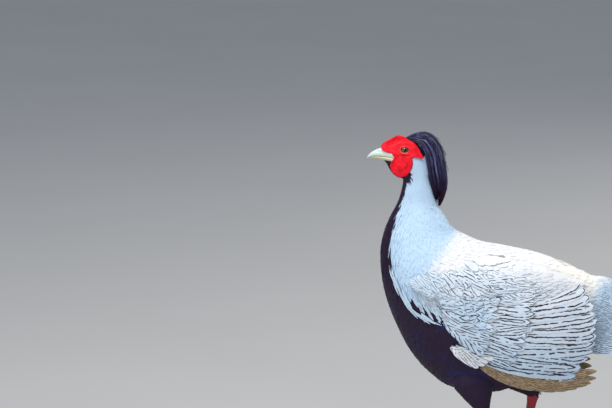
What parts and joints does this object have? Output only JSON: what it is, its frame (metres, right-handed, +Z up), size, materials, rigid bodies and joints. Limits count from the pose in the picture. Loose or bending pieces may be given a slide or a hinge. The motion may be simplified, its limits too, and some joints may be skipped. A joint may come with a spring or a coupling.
{
  "type": "silver pheasant",
  "caption": "Life-size standing silver pheasant cock with a bare red face, dark hanging crest, folded wings and a long arched tail.",
  "frame": {"origin": "on the floor under the middle of the bounding box", "axes": "+X along the bird towards the tip of its tail, -X the way it faces, +Y its right side, +Z up"},
  "size_m": [0.8446, 0.1538, 0.4722],
  "materials": {
    "white_plumage": "soft, matte feathers, white to pale blue",
    "lined_plumage": "white feathers with fine wavy black lines",
    "dark_plumage": "hair-like blue-black feathers with a gloss",
    "face_skin": "velvety bare red skin",
    "bill_horn": "pale greenish horn, smooth",
    "eye": "wet, dark brown",
    "leg_skin": "red scaled skin, slightly glossy",
    "claw_horn": "grey-brown horn"
  },
  "bodies": {
    "root": {"crest": "dark_plumage", "head": "face_skin", "left_claw_hind": "claw_horn", "left_claw_inner": "claw_horn", "left_claw_middle": "claw_horn", "left_claw_outer": "claw_horn", "left_eye": "eye", "left_foot": "leg_skin", "left_shank": "leg_skin", "left_spur": "claw_horn", "left_thigh": "dark_plumage", "left_wing": "lined_plumage", "lower_beak": "bill_horn", "neck": "white_plumage", "right_claw_hind": "claw_horn", "right_claw_inner": "claw_horn", "right_claw_middle": "claw_horn", "right_claw_outer": "claw_horn", "right_eye": "eye", "right_foot": "leg_skin", "right_shank": "leg_skin", "right_spur": "claw_horn", "right_thigh": "dark_plumage", "right_wing": "lined_plumage", "tail": "lined_plumage", "torso": "white_plumage", "upper_beak": "bill_horn"}
  },
  "joints": []
}
